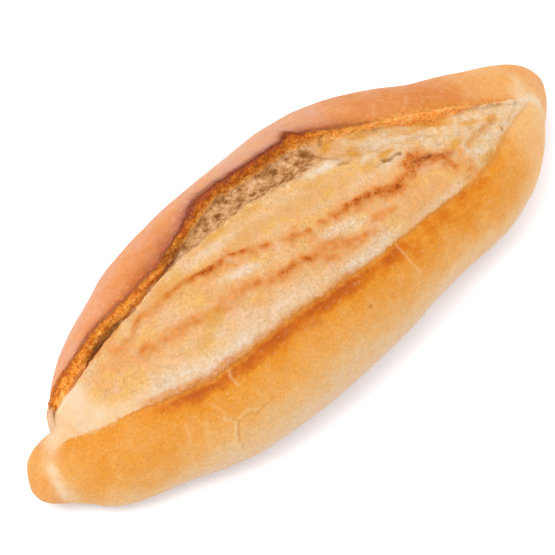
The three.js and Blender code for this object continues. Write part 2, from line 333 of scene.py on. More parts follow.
arc("tuckNear", lambda t: tuck_at((1 - t) * np.pi / 2, -1, B))
arc("near", near_arc, lambda t: 1 - (1 - t) ** 1.35)
arc("bloom", bloom_arc)
arc("hollow", hollow_arc)
arc("face", face_arc)
arc("far", far_arc, lambda t: t ** 1.45)
arc("tuckFar", lambda t: tuck_at(t * np.pi / 2, 1, B))
arc("base", lambda t: (lerp(B["far"] * BASE_RATIO, -B["near"] * BASE_RATIO, t), B["foot"]))
kind, share = np.array(kind), np.array(share)
Y, Z = np.concatenate(Y, 1), np.concatenate(Z, 1)
y_flat = Y.copy()                                               # before the tips are drawn in
yc = (B["far"] - B["near"]) / 2
Y = yc + (Y - yc) * B["draw_in"]
Z = B["widest"] + (Z - B["widest"]) * B["draw_in"]
XX = np.broadcast_to(x, Y.shape)
P = np.stack([XX, Y, Z], -1)                                    # the smooth loaf
rows, cols = Y.shape
is_ = {k: np.broadcast_to((kind == k)[None, :], Y.shape).astype(float) for k in ARC}


def normals(p):
    along_x = np.empty_like(p)
    along_x[1:-1] = p[2:] - p[:-2]
    along_x[0], along_x[-1] = p[1] - p[0], p[-1] - p[-2]
    around = np.roll(p, -1, 1) - np.roll(p, 1, 1)
    n = np.cross(along_x, around)
    return n / np.maximum(np.linalg.norm(n, axis=-1, keepdims=True), 1e-9)


N = normals(P)
# the loaf's own coordinates over the surface: how far from the rim, the lip
girth = np.zeros((rows, cols))
step = np.linalg.norm(np.diff(P, axis=1), axis=-1)
girth[:, 1:] = np.cumsum(step, 1)
j_rim = int(np.argmax(kind == "bloom"))
j_lip = int(np.argmax(kind == "far"))
from_rim = girth[:, [j_rim]] - girth                            # + down the near crust
from_lip = girth - girth[:, [j_lip]]                            # + down the far crust
inside = is_["bloom"] + is_["hollow"] + is_["face"]
w = (y_flat - rim) / np.maximum(lip - rim, 1e-3)                # 0 at the rim, 1 at the flap's edge

# a little wander so that no boundary is a clean line
wob = fbm(P, 9.0, 3, 51)
wob2 = fbm(P, 3.2, 2, 57)
wobx = fbm(P, 7.0, 3, 59)
xw = XX + 0.9 * wobx + 0.35 * wob2
yw = y_flat + 0.7 * wob + 0.35 * wob2


def stroke(points, width, u=None, v=None, hard=2.0):
    """1 along a line drawn on the surface, fading over its width"""
    u, v = xw if u is None else u, yw if v is None else v
    best = np.full(Y.shape, 1e9)
    for (ax, ay), (bx, by) in zip(points, points[1:]):
        t = np.clip(((u - ax) * (bx - ax) + (v - ay) * (by - ay)) / max((bx - ax) ** 2 + (by - ay) ** 2, 1e-9), 0, 1)
        best = np.minimum(best, np.hypot(u - ax - t * (bx - ax), v - ay - t * (by - ay)))
    return np.exp(-(best / width) ** hard)


def spot(px, py, a, b_, slant=0.0, edge=0.55):
    """1 inside an ellipse with a ragged, soft edge"""
    ca, sa = math.cos(math.radians(slant)), math.sin(math.radians(slant))
    dx, dy = xw - px, yw - py
    r = np.hypot((dx * ca + dy * sa) / a, (dy * ca - dx * sa) / b_)
    return ramp(1 + edge, 1 - edge, r)


def join(*parts):
    out = np.zeros(Y.shape)
    for p in parts:
        out = np.maximum(out, p)
    return out


# --------------------------------------------------------------- the marks
M = {}
along_face = np.broadcast_to(share[None, :], Y.shape)
into = -from_rim - 0.9 * band(56, 70, 96, 106, x)               # + into the burst
# at its left end the torn face takes in the whole height of the flap
cut = through([(-130, 26), (-124, 17), (-120.5, 10), (-116.5, 4), (-110, 0), (-100, 0)], x) * (x > -125.2)
from_cut = from_lip - cut * is_["far"]
soft_rim = 0.9 + 2.6 * (1 - ramp(-120, -98, x)) + 0.9 * ramp(84, 112, x)
soft_lip = 0.30 + 0.9 * ramp(44, 62, x)
M["open"] = (ramp(-1, 1, (into + 0.8 * wob2 + 0.6 * noise(P, 1.8, 205)) / soft_rim) * ramp(1, -1, (from_cut + 0.25 * wob2) / soft_lip)
             * ramp(-140, -126, x + 2.5 * wob) * (1 - ramp(123, 131, x + 2 * wob)))
inside = np.clip(inside, 0, 1)
M["face"] = np.clip(is_["face"] * torn * (1 - ramp(42, 64, x + 4 * wob + 9 * (1 - along_face)))
                    * ramp(-126.4, -125.0, x)
                    + is_["far"] * ramp(0.6, -0.6, from_cut) * ramp(-125.6, -124.6, x) * (x < -104), 0, 1)
hw = (yw - hollow) / np.maximum(foot - hollow, 1e-3)
hollow_x = band(-56, -38, 27, 36, x + 5 * wob)
M["hollow"] = np.clip(is_["hollow"] * ramp(-0.24, 0.40, hw + 0.34 * wob + 0.25 * wob2) * hollow_x
                      + is_["bloom"] * ramp(hollow - 3.0, hollow + 0.6, yw + 1.2 * wob) * band(-40, -30, 24, 34, x) * 0.75
                      + is_["face"] * (1 - ramp(0.0, 0.22, along_face + 0.25 * wob)) * band(-42, -34, -18, -10, x) * 0.8,
                      0, 1)
notch = band(-104, -99, -87, -82, x)
# painted shade: a thin dark line along the crevice at the foot of the torn face
groove = np.exp(-((y_flat - foot + 0.60 + 0.7 * notch) / (0.50 + 0.2 * wob + 0.9 * notch)) ** 2) * torn
M["shady"] = np.clip((is_["hollow"] + is_["face"] * ramp(0.30, 0.0, along_face)) * torn
                     * (1 - ramp(-62, -46, x) + 0.2 * band(60, 78, 112, 120, x)), 0, 1)
M["shadow"] = np.clip(np.exp(-((y_flat - foot + 1.0 + 1.2 * notch) / (0.9 + 0.3 * wob + 1.3 * notch)) ** 2) * torn
                      * (is_["hollow"] + is_["bloom"]) * band(-120, -110, -84, -76, x), 0, 1)
M["steep"] = is_["face"] * band(38, 48, 112, 120, x)
M["groove"] = np.clip((is_["hollow"] + is_["face"]) * groove * (1 - ramp(-52, -42, x))
                      * (0.34 + 0.50 * band(-104, -99, -84, -76, x) + 0.45 * band(-66, -58, -46, -42, x)
                         + 0.35 * along(x, 5.0, 65)), 0, 1)
# painted shade: a dark spot in the recess where the torn face meets the hollow
M["nook"] = np.clip(spot(-48.5, 25.4, 6.5, 1.7, 12) * (is_["face"] + is_["hollow"]) * (0.7 + 0.6 * wob2), 0, 1)

# how brown the burst is, before its streaks: 0 palest, 1 darkest
edge_x = curve([-24, -15, -12, -7, -2, 4, 10, 16, 22], [-88, -95, -98, -104, -110, -112, -112, -113, -118], y_flat)
skin = ramp(edge_x + 4.5, edge_x - 3.5, xw)
tone = 0.385 + 0.08 * noise(P, 17, 201) + 0.06 * noise(P, 6.5, 202)
warm = (band(12, 34, 70, 80, x + 2.5 * wob) * ramp(ridge_y[0] + 3.0, ridge_y[0] - 3.0, yw)
        * ramp(0.5, 6.0, into + 1.5 * wob) * 0.85
        + 0.45 * spot(-4, -20, 9, 3.5, -30) + 0.60 * spot(57, -9.5, 7, 3.6, 10)
        + 0.65 * spot(73, -25.5, 7, 3.4, 8) + 0.4 * spot(40, -14, 12, 3.0, 0)
        + 0.35 * spot(44, 2, 9, 3.2, -20))
M["warm"] = np.clip(inside * warm, 0, 1)
white = bump_at(into, 3.5, 4.0 + 2.6 * bump_at(x, -78, 16)) * band(-104, -92, -60, -48, x)
white = white + bump_at(into, 2.2, 3.2) * band(-10, 0, 22, 34, x) * 0.9
white = white + bump_at(into, 4.5, 5.0) * band(-60, -50, -22, -8, x) * 0.55
white = white + bump_at(into, 1.2, 1.8) * band(30, 40, 62, 72, x) * 0.35
M["white"] = np.clip(inside * (white * (0.85 + 0.7 * wob) + 0.85 * spot(53.5, 5.5, 7.5, 2.8, -25) + 0.6 * spot(47, 8.4, 3.5, 2.0, 0)
                               + 1.0 * spot(22.5, 10.4, 8.0, 2.2, -12) + 0.8 * spot(59.5, 2.4, 5, 2.6, -28) + 0.7 * spot(39.5, 1.6, 3.5, 1.8, 20)
                               + 0.65 * spot(-36.5, -2.2, 9, 2.2, -20) + 0.5 * spot(-38, 14.0, 12, 2.6, -6) + 0.5 * spot(13.7, -18.4, 6, 2.2, -8)
                               + 0.45 * spot(8, -15, 9, 2.2, -8)), 0, 1)
crumb = ramp(60, 66, x + 2 * wob) * ramp(-16.0, -12.0, yw + 0.12 * (x - 70)) + ramp(74.0, 79.0, x + 2.5 * wob)
crumb = np.maximum(crumb, ramp(38, 43, xw) * ramp(-9.5, -7.0, yw) * (1 - ramp(56, 62, xw)))
M["crumb"] = np.clip(inside * crumb, 0, 1)
bright = join(0.9 * spot(80, -22.6, 6.5, 2.2, -6), 0.6 * spot(88, -22.6, 3.5, 1.8), 0.5 * spot(90, -15, 6, 2, -10),
              0.7 * spot(71.5, -21.8, 3.6, 2.2, 0), 0.6 * spot(70, -5.5, 6, 1.8, -30), 0.8 * spot(116, -13.5, 9, 2.0, -8))
tone = tone - 0.15 * M["white"] + 0.13 * M["warm"] - 0.10 * M["crumb"] - 0.20 * bright
tone = tone - 0.10 * ramp(98, 112, x) - 0.14 * ramp(110, 122, x)
tone = tone + 0.07 * band(-118, -104, -96, -88, x + 3 * wob) * (1 - skin)
tone = lerp(tone, 0.20 - 0.14 * w + 0.03 * noise(P, 9, 203), skin)
M["skin"] = np.clip(skin * inside, 0, 1)
M["tone"] = np.clip(tone, 0, 1.2) * np.ones(Y.shape)
# toasted streaks
fray = 1.0 + 0.35 * wob2
breaks = (1 - 0.95 * bump_at(x, -16.8, 2.4) - 0.9 * bump_at(x, -0.6, 1.6) - 0.5 * bump_at(x, -73, 2.5)
          - 0.45 * bump_at(x, -86, 4)) * (0.85 + 0.35 * along(x, 8.0, 61))
patchy = np.clip(1.0 + 0.55 * noise(P, 3.6, 207), 0.2, 1.6)
core1 = bump_at(yw, ridge_y[0], 2.0 * fray) * (0.40 + 0.26 * band(-88, -80, -40, -34, x)
                                               + 0.34 * band(-36, -30, -10, -4, x) + 0.30 * band(2, 8, 30, 38, x))
wide1 = bump_at(yw, ridge_y[0] - 0.8, 4.0 * fray) * 0.44
t1 = np.maximum(core1 + 0.5 * wide1, wide1) * ridge_on[0] * np.clip(breaks, 0, 1.2)
core2 = bump_at(yw, ridge_y[1], 2.4 * fray) * (0.30 + 0.16 * band(-84, -66, -44, -36, x) + 0.30 * band(-32, -26, -14, -6, x)
                                               + 0.12 * along(x, 7.0, 63)) * (1 - 0.95 * ramp(-12, -1, x))
wide2 = bump_at(yw, ridge_y[1] - 0.4, 4.6 * fray) * 0.42 * (1 - 0.9 * ramp(-8, 8, x))
t2 = np.maximum(core2 + 0.4 * wide2, wide2) * ridge_on[1]
t2 = np.maximum(t2, join(0.50 * spot(1.0, -19.2, 9, 3.6, -28), 0.48 * spot(11, -24.0, 9, 2.6, -8), 0.34 * spot(24, -22, 9, 2.4, -6)))
end = join(0.56 * stroke([(33, -14.8), (38.7, -17.0), (45, -15.2), (51, -12.8)], 3.2),
           0.62 * stroke([(50, -11.4), (58, -13.8), (63, -16.6), (69.5, -18.8)], 3.4), 0.55 * spot(56.5, -9.4, 6.0, 3.4, -10),
           0.42 * stroke([(67, -22), (70, -26), (74, -28.6)], 4.4), 0.48 * spot(69, -20, 7.0, 3.6, 10), 0.4 * spot(70.5, -31, 5, 1.8, 0))
t1, t2, end = t1 * patchy, t2 * patchy, end * patchy
M["toast"] = np.clip(np.maximum(np.maximum(t1, t2), end) + 0.3 * np.minimum(t1, end), 0, 1.2) * inside
speck_top = through([(46, 0.8), (56, 1.8), (64, 2.6), (74, 3.6), (88, 3.4), (98, 3.0), (110, 1.6), (120, 0.8)], x)
speck_low = through([(40, -2.2), (46, -3.2), (54, -3.6), (61, -4.6), (68, -6.6), (75, -6.6), (84, -5.2), (92, -3.0), (98, -0.8), (106, -0.3), (120, -0.2)], x)
M["speck"] = np.clip(ramp(speck_top + 1.7 + 1.2 * wob, speck_top - 1.2 + 1.2 * wob, from_lip)
                     * ramp(speck_low - 1.3 + 1.4 * wob, speck_low + 1.3 + 1.4 * wob, from_lip)
                     * band(36, 46, 108, 121, x + 3 * wob), 0, 1) * (1 - is_["tuckFar"])
# golden patches of fine crumb
M["gold"] = np.clip(inside * join(0.9 * spot(34.3, 20.6, 3.4, 2.4, 10), 0.75 * spot(48.5, 14.0, 6.5, 2.0, -25), 0.95 * spot(39.0, 9.0, 4.4, 2.8, 55),
                                  0.9 * spot(47.6, -1.4, 4.6, 1.9, 5), 0.6 * spot(37.5, -2.0, 4.2, 2.6, 0),
                                  1.0 * spot(75.5, -0.6, 8.5, 3.0, -30), 0.85 * spot(74.4, -16.2, 3.6, 1.8, 10),
                                  0.7 * spot(98, -15.4, 2.8, 2.2, 0), 0.7 * spot(84.0, -27.8, 5.0, 1.6, 6), 0.6 * spot(62, 3.6, 6, 2.0, -30), 0.7 * spot(89, -11.2, 5, 2.0, -25),
                                  0.6 * spot(-33, 18.2, 6, 1.9, 0), 0.55 * spot(-14, 16.5, 6, 2.2, 0),
                                  0.5 * spot(14, 7.2, 6, 2.0, 0), 0.45 * spot(-20, 8, 12, 3.6, -8),
                                  0.4 * spot(2, 4, 12, 4, -5), 0.4 * spot(20, 1, 10, 4, -10),
                                  0.35 * spot(-62, 14, 10, 3, 0), 0.5 * spot(-66.7, -14.3, 4.6, 2.6, 10),
                                  0.5 * spot(-57, -9.8, 5.0, 3.0, 0)), 0, 1)
M["rust"] = np.clip(inside * join(0.9 * stroke([(79.8, -19.6), (86.7, -17.6), (94.2, -16.7)], 1.7),
                                  0.45 * stroke([(94, -16.7), (101, -14)], 1.3),
                                  0.5 * stroke([(62, 2.6), (70, -0.6), (78, -4.2)], 1.0),
                                  0.6 * stroke([(80, -1.2), (90, -4.6), (98, -7.6)], 1.1)), 0, 1)
# blackened spots, slots darkened with painted shade, and smears
M["char"] = np.clip(inside * join(stroke([(53.2, -12.8), (57, -13.3), (61.8, -14.4)], 1.3),
                                  0.40 * stroke([(62, -15.4), (66, -17.2), (70.5, -18.6)], 1.3)), 0, 1) * (0.8 + 0.4 * wob2)
ragg = np.clip(0.8 + 0.5 * wob2 + 0.7 * noise(P, 1.9, 209), 0, 1.3)
M["slot"] = np.clip(inside * join(1.0 * stroke([(43.9, -4.0), (47, -4.7), (51.8, -5.9)], 0.95) * ragg,
                                  0.6 * stroke([(39.8, -4.4), (41.6, -4.3)], 0.5) * ragg,
                                  0.55 * stroke([(96.4, -5.9), (98.6, -6.6), (100.6, -7.6)], 0.8) * ragg,
                                  0.6 * stroke([(103.6, -9.2), (106, -9.8), (108.7, -10.8)], 0.8) * ragg,
                                  0.35 * stroke([(116.6, -10.4), (119.6, -10.2)], 0.7),
                                  0.75 * spot(99.8, -20.9, 0.9, 0.7),
                                  0.6 * stroke([(28.9, 7.4), (31.5, 6.2), (34.2, 4.8)], 1.0) * ragg,
                                  0.9 * spot(17.5, 16.5, 1.9, 1.1, -20), 0.55 * stroke([(28.7, 16.9), (29.2, 15.6)], 0.8),
                                  0.95 * spot(-13.7, 30.8, 0.9, 0.8, 20), 0.85 * spot(-9.4, 28.2, 1.5, 0.8, 0),
                                  0.7 * spot(-18.1, 21.1, 1.8, 0.9, 0), 0.5 * spot(-17.5, 31.0, 1.0, 0.8),
                                  0.65 * spot(-27.4, 28.1, 1.2, 0.9), 0.75 * spot(-29.9, 26.5, 0.9, 1.4, 0),
                                  0.9 * spot(26.2, 24.7, 1.6, 2.2, 10), 0.7 * spot(27.4, 22.4, 1.2, 1.0),
                                  0.55 * spot(33.1, 23.0, 1.0, 1.0), 0.3 * spot(54.9, 11.4, 1.6, 0.8, -20),
                                  0.8 * stroke([(-81, 18.0), (-76, 18.3)], 0.5)), 0, 1)
M["smear"] = np.clip(inside * join(0.6 * stroke([(61.6, -0.8), (64.6, -1.8), (67.4, -3.1), (71.1, -6.8)], 1.2) * ragg,
                                   0.35 * stroke([(55, 11.2), (59.3, 8.2)], 1.3) * ragg,
                                   0.55 * stroke([(5.8, 21.2), (7.6, 18.2), (11, 17.2), (14.4, 19.2), (13.6, 22.6), (9.6, 23.4)], 1.1),
                                   0.6 * spot(10, 20.3, 3.6, 2.2), 0.75 * spot(3.1, 30.2, 4.2, 1.3, -6),
                                   0.5 * spot(1.2, 27.6, 3.6, 1.8), 0.7 * spot(24, 22, 4.6, 3.2, 20),
                                   0.6 * spot(-38.7, 27.4, 6.5, 1.8, 6), 0.55 * spot(-17.5, 33.0, 8, 1.2, -4),
                                   0.4 * spot(-22, 24.5, 4.5, 2.4), 0.35 * spot(18, 28.4, 3.0, 1.2),
                                   0.45 * spot(91.8, -10.2, 1.7, 1.3), 0.4 * spot(80, -13.2, 1.5, 1.0),
                                   0.45 * spot(87, -13.6, 1.6, 1.0), 0.35 * spot(97, -17.4, 1.4, 1.2),
                                   0.4 * stroke([(68, -12.6), (71, -13.4)], 1.0), 0.4 * spot(30.4, 9.6, 2.0, 1.4),
                                   0.30 * spot(-90, -13.5, 3.5, 1.6, -30), 0.35 * stroke([(-75, -9), (-75.5, -13.5)], 0.8),
                                   0.25 * spot(-122.3, 1.9, 1.6, 0.8), 0.3 * spot(46, 8.5, 3.0, 2.2)), 0, 1)
# crust: how brown the near side is, by the distance down from the rim
down = np.clip(from_rim, 0, 60)
mid_n = curve([0, 1.5, 3.2, 6, 9, 12, 16, 20, 24, 28, 33, 39, 46, 56],
              [0.58, 0.80, 1.0, 0.90, 0.73, 0.67, 0.60, 0.52, 0.42, 0.33, 0.24, 0.14, 0.06, 0], down)
gold_n = curve([0, 3, 6, 12, 18, 22, 26, 30, 36, 42, 50],
               [0.66, 0.82, 0.80, 0.72, 0.60, 0.49, 0.37, 0.29, 0.18, 0.10, 0.04], down)
left_n = curve([0, 2, 5, 9, 16, 22, 27, 32, 37, 42, 50],
               [0.64, 0.68, 0.66, 0.62, 0.62, 0.60, 0.54, 0.46, 0.32, 0.18, 0.06], down)
right_n = curve([0, 6, 14, 20, 26, 32], [0.46, 0.50, 0.55, 0.54, 0.42, 0.28], down)
brown = lerp(left_n, mid_n, ramp(-112, -80, x + 4 * wob))
brown = lerp(brown, gold_n, ramp(12, 34, x + 4 * wob))
brown = lerp(brown, lerp(gold_n, right_n, 0.35), ramp(70, 84, x + 3 * wob))
brown = lerp(brown, right_n, ramp(88, 106, x + 4 * wob))
brown = brown - 0.16 * ramp(112, 124, x)
brown = lerp(brown, 0.50 - 0.012 * down, ramp(-130, -142, x))
brown = np.where((from_lip > 0) & (x > 60), 0.56 - 0.26 * ramp(112, 124, x) * ramp(12, 0, from_lip), brown)
brown = brown + 0.05 * noise(P, 19, 211) + 0.05 * noise(P, 8, 212) * ramp(0.1, 0.5, brown)
nearside = is_["near"] + is_["tuckNear"] + is_["bloom"] + is_["base"] * (y_flat <= 0)
M["brown"] = np.where(is_["base"] > 0, 0.12, np.clip(brown, 0, 1.1)) * np.ones(Y.shape)
M["farside"] = np.clip(is_["far"] + is_["tuckFar"] + is_["face"] + is_["hollow"] + is_["base"] * (y_flat > 0), 0, 1) \
    * ramp(-141, -134, x) * (1 - 0.9 * ramp(86, 122, x + 2 * wob))
M["tan"] = np.clip(through([(-150, 0.62), (-135, 0.45), (-118, 0.50), (-104, 0.42), (-88, 0.50), (-64, 0.66), (-40, 0.62),
                            (-16, 0.36), (12, 0.33), (32, 0.44), (46, 0.66), (54, 0.80), (78, 0.82), (100, 0.76),
                            (114, 0.60), (127, 0.40), (138, 0.58), (150, 0.62)], x)
                   - 0.16 * ramp(9, 24, from_lip) - 0.20 * ramp(22, 5, Z) + 0.06 * noise(P, 15, 221) + 0.05 * noise(P, 6, 222), 0, 1.1)
M["glow"] = np.clip(ramp(94, 108, x + 3 * wob) * (1 - ramp(134, 146, x)) * (1 - 0.7 * (is_["far"] + is_["tuckFar"])), 0, 1)
M["even"] = 0.04 * ramp(0, 50, x) + 0.06 * ramp(80, 125, x) * np.ones(Y.shape)
ragged = bump_at(from_rim + 0.9 * wob + 0.9 * wob2, -0.1, 1.7 + 0.5 * wobx) * band(-104, -92, -4, 12, x) \
    + 0.75 * bump_at(from_rim + 1.0 * wob + 0.9 * wob2, -1.6, 1.6) * band(-106, -96, -62, -52, x) \
    + 0.55 * bump_at(from_rim + 0.6 * wob, 0.2, 1.2) * band(4, 14, 90, 108, x)
M["ragged"] = np.clip(ragged, 0, 1)
M["rusty"] = np.clip(is_["near"] * (0.9 * stroke([(-35, 6.0), (-30, 7.4), (-25, 9.0)], 2.2, xw, from_rim + 0.8 * wob)
                                    + 0.5 * stroke([(-60, 4.5), (-48, 5.5)], 1.6, xw, from_rim + 0.8 * wob)
                                    + 0.45 * stroke([(-18, 4.5), (-6, 5.0)], 1.5, xw, from_rim + 0.8 * wob)), 0, 1)
# browned band along the flap's edge: its reach changes along the loaf
reach = through([(-128, 1.2), (-112, 2.2), (-98, 3.6), (-86, 5.2), (-66, 10.5), (-50, 10.5), (-36, 8.2), (-20, 5.0), (0, 4.2),
                 (18, 4.8), (32, 7.4), (42, 6.8), (50, 4.0), (58, 1.4), (150, 0.8)], x)
fade = np.clip(from_cut, 0, 60) / (reach * (1 + 0.25 * wob + 0.15 * wobx))
outer = is_["far"] + is_["tuckFar"]
M["rosy"] = outer * ramp(4, 18, Z) * through([(-150, 0.0), (-126, 0.04), (-112, 0.13), (-84, 0.14), (-56, 0.12), (-28, 0.10), (0, 0.08),
                                  (42, 0.04), (60, 0.0), (150, 0.0)], x)
M["purple"] = np.clip(is_["far"] * (from_cut > -0.6) * (0.62 * np.exp(-(fade * 1.05) ** 1.5) + 0.42 * np.exp(-(fade * 2.4) ** 1.5))
                      * band(-122, -112, 46, 60, x) * (1.0 + 0.25 * along(x, 12, 73)), 0, 1)
# painted reflection: over this stretch the browned band takes a lilac tint that stands for a glancing sheen of the sky
M["lilac"] = np.clip(ramp(-52, -30, x) * (1 - ramp(20, 28, x)) + 0.5 * ramp(-70, -52, x) * (1 - ramp(20, 28, x)), 0, 1) \
    * np.ones(Y.shape)
M["lipline"] = np.clip(np.exp(-((from_cut + 0.15) / (0.72 + 0.42 * band(-46, -34, 20, 44, x))) ** 2) * torn * (1 - ramp(50, 60, x))
                       * (0.72 + 0.28 * band(-60, -46, -30, -20, x) - 0.12 * band(-24, -14, 14, 20, x))
                       + np.exp(-((from_lip + 1.0) / 1.1) ** 2) * is_["face"] * band(-24, -12, 26, 32, x) * 0.30, 0, 1)
M["kink"] = (is_["face"] + is_["far"]) * spot(22.3, 34.6, 2.6, 1.7, -12)
endcap = join(0.85 * stroke([(-140.3, -0.5), (-141.3, -6.1), (-142.2, -10.7), (-142.6, -14.4)], 2.1, xw, y_flat),
              0.5 * stroke([(-142.6, -12.8), (-141.8, -15.2)], 2.6, xw, y_flat),
              0.45 * stroke([(-139, 1.5), (-135, 6), (-131, 9)], 4.2, xw, y_flat))
M["endpale"] = np.clip(endcap * (is_["near"] + is_["bloom"])
                       + 0.9 * stroke([(121, -13.2), (127.1, -14.0), (130, -15.5)], 2.0, xw, y_flat)
                       + 0.5 * stroke([(129, -15), (131, -20), (130, -27)], 3.2, xw, y_flat)
                       + 0.45 * stroke([(122, -9), (127, -6), (129, -1)], 2.6, xw, y_flat), 0, 1) * (Z > 6)
M["neck"] = np.clip(ramp(-139, -133, x + 1.5 * wob) * np.maximum(ramp(-123.4, -124.8, x),
                    (is_["far"] + is_["tuckFar"]) * ramp(-121.8, -123.4, x) * ramp(22, 14, y_flat))
                    * (is_["far"] + is_["bloom"] + is_["hollow"] + is_["face"] + is_["tuckFar"] * ramp(6, 14, Z)), 0, 1)
M["tips"] = ramp(141.5, 146, -x - 0.20 * (y_flat + 5) + 1.2 * wob) + 0.9 * ramp(127, 137, x + 1.5 * wob)
M["under"] = np.clip(is_["base"] + ramp(3.5, 0.6, Z) * (is_["tuckNear"] + is_["tuckFar"]), 0, 1)

# up the torn face: 0 at its foot, 1 at the lip, as brown as that part of the loaf shows
lean = through([(-128, 0.34), (-112, 0.36), (-100, 0.34), (-80, 0.34), (-62, 0.34), (-50, 0.30), (-40, 0.42), (-28, 0.47),
                (0, 0.50), (26, 0.46), (34, 0.20), (46, 0.18), (60, 0.10), (150, 0.0)], x)
climb = through([(-128, 0.52), (-100, 0.54), (-76, 0.50), (-62, 0.34), (-48, 0.42), (-36, 0.90), (-20, 1.05), (0, 0.98), (26, 0.88),
                 (34, 0.48), (46, 0.34), (60, 0.16), (150, 0.10)], x)
M["up"] = np.where(is_["far"] > 0, lean + 0.5 * climb, lean + climb * (along_face - 0.35)
                   - 0.20 * ramp(0.30, 0.0, along_face) * ramp(-45, -20, x)) * np.ones(Y.shape)

# ----------------------------------------------------------------- relief
crust = 1 - M["open"]
D = np.zeros((rows, cols))
above = ramp(2, 10, Z)
D += above * (0.50 * noise(P, 34, 101) + 0.22 * noise(P, 13, 102)) * (1 - 0.4 * M["open"])
D += crust * above * (0.09 * noise(P, 5.0, 103) + 0.05 * noise(P, 2.2, 104))
rough_skin = M["open"] * (1 - 0.75 * M["skin"])
D += rough_skin * (0.34 * noise(P, 6.0, 111) + 0.32 * noise(P, 2.8, 112) + 0.20 * noise(P, 1.5, 113))
# pores of the torn hollow
pore1, id1 = cells(P, 3.9, 121)
pore2, id2 = cells(P, 2.1, 122)
pits = ramp(0.50, 0.16, pore1) * ramp(0.45, 0.70, id1) * 0.8 + ramp(0.5, 0.2, pore2) * ramp(0.4, 0.75, id2) * 0.6
porous = np.clip(M["hollow"] + 0.35 * M["crumb"] * M["open"] * ramp(0.5, 0.8, id2), 0, 1)
D -= porous * pits * 0.55
D += M["hollow"] * 0.36 * fbm(P, 3.4, 3, 123)
# flaky layers of the cut face and of the rough slope at the right
flat = P * np.array([0.35, 1.0, 1.0])
D += M["face"] * (0.50 * noise(flat, 1.7, 131) + 0.32 * noise(P, 1.6, 132))
D += M["speck"] * (0.30 * noise(P, 2.6, 133) + 0.25 * noise(P, 1.5, 134))
fl = P * np.array([0.5, 1.0, 1.0])
D += M["crumb"] * M["open"] * (0.62 * noise(fl, 4.5, 135) + 0.40 * noise(fl, 2.2, 136))
D += np.minimum(M["toast"], 1) * 0.28 * noise(P, 1.7, 137)
D += M["ragged"] * (0.26 + 0.38 * noise(P, 1.8, 138))
D -= 0.42 * M["slot"] + 0.35 * M["smear"] + 0.20 * M["char"]
# painted shade: the sunken pits of the hollow, darkened in the colour below
M["pore"] = np.clip(pits / 0.8, 0, 1) * porous
# small blisters and creases of the smooth crust
bl, bid = cells(P, 5.2, 141)
blister = ramp(0.16, 0.05, bl) * ramp(0.45, 0.7, bid)
D += crust * above * blister * 0.12
M["blister"] = np.clip(blister * crust * (1 - 0.35 * M["farside"]), 0, 1)
u, v = XX + 0.25 * wob2, from_rim + 0.25 * wobx
near_skin = is_["near"]
# painted shade: a dark line inside each crack of the skin
split = join(stroke([(-78, 18.4), (-76.1, 20), (-74.9, 21.8), (-76.7, 25.5), (-78, 30.7), (-77.3, 37)], 0.34, u, v),
             stroke([(-74.9, 21.8), (-71.7, 21.2), (-69.9, 21.5), (-68, 23.5), (-66.1, 23.7), (-61.8, 22.8),
                     (-58.5, 21.8)], 0.34, u, v),
             0.6 * stroke([(-64.9, 1.0), (-66.7, 4.8), (-66.7, 6.9), (-66.1, 8.5)], 0.4, u, v)) * near_skin
# painted highlight: a pale line along the raised edge of each crease
fold = join(stroke([(-79.2, 18.2), (-77.3, 20), (-76.2, 21.8), (-78.0, 25.3), (-79.3, 30.7), (-78.6, 37)], 0.7, u, v),
            stroke([(-75.4, 20.4), (-71.7, 19.9), (-69.5, 20.1), (-66.5, 22.3)], 0.6, u, v),
            0.8 * stroke([(-67.5, 9), (-68.2, 5), (-66, 1)], 0.6, u, v),
            0.8 * stroke([(22.9, 0.6), (22.9, 5.4), (23.4, 9.4), (24.0, 13.3), (25.8, 18.2)], 0.55, u, v),
            0.6 * stroke([(-80.5, 10.5), (-79.2, 13.1), (-78, 16.6)], 0.6, u, v),
            0.55 * stroke([(-92.9, 14.3), (-93.6, 18.3), (-94.8, 22.7)], 0.6, u, v),
            0.5 * stroke([(-85.5, 16.3), (-88, 21.4), (-89.8, 28.7)], 0.7, u, v)) * near_skin
fold = fold + join(0.6 * stroke([(58.0, 4.7), (63.0, 12.3)], 0.5, XX, from_lip),
                   0.6 * stroke([(69.9, 3.4), (76.7, 11.9)], 0.5, XX, from_lip)) * is_["far"]
D += -0.28 * split + 0.20 * fold
M["split"], M["fold"] = split, fold
M["prick"] = np.clip(stroke([(-2.6, 16.6), (-2.4, 16.6)], 0.7, XX, from_rim) * near_skin, 0, 1)
D -= 0.35 * M["prick"]
P = P + N * D[..., None]
P[..., 2] = np.maximum(P[..., 2], 0.0)
P[..., 1] += MID_SHIFT

# ------------------------------------------------------------------- mesh
tip_l = [-HALF, float(yc[0, 0]) + MID_SHIFT, float(curve(BODY_X, WIDEST_Z, -HALF))]
tip_r = [HALF, float(yc[-1, 0]) + MID_SHIFT, float(curve(BODY_X, WIDEST_Z, HALF))]
verts = np.concatenate([P.reshape(-1, 3), [tip_l, tip_r]]) * MM
ii, jj = np.meshgrid(np.arange(rows - 1), np.arange(cols), indexing="ij")
a = ii * cols + jj
c = ii * cols + (jj + 1) % cols
quads = np.stack([a, a + cols, c + cols, c], -1).reshape(-1, 4)
jn = (np.arange(cols) + 1) % cols
left_fan = np.stack([np.full(cols, rows * cols), np.arange(cols), jn], -1)
last = (rows - 1) * cols
right_fan = np.stack([np.full(cols, rows * cols + 1), last + jn, last + np.arange(cols)], -1)
me = bpy.data.meshes.new("loaf_baked")
me.vertices.add(len(verts))
me.vertices.foreach_set("co", verts.astype(np.float32).ravel())
loops = np.concatenate([quads.ravel(), left_fan.ravel(), right_fan.ravel()]).astype(np.int32)
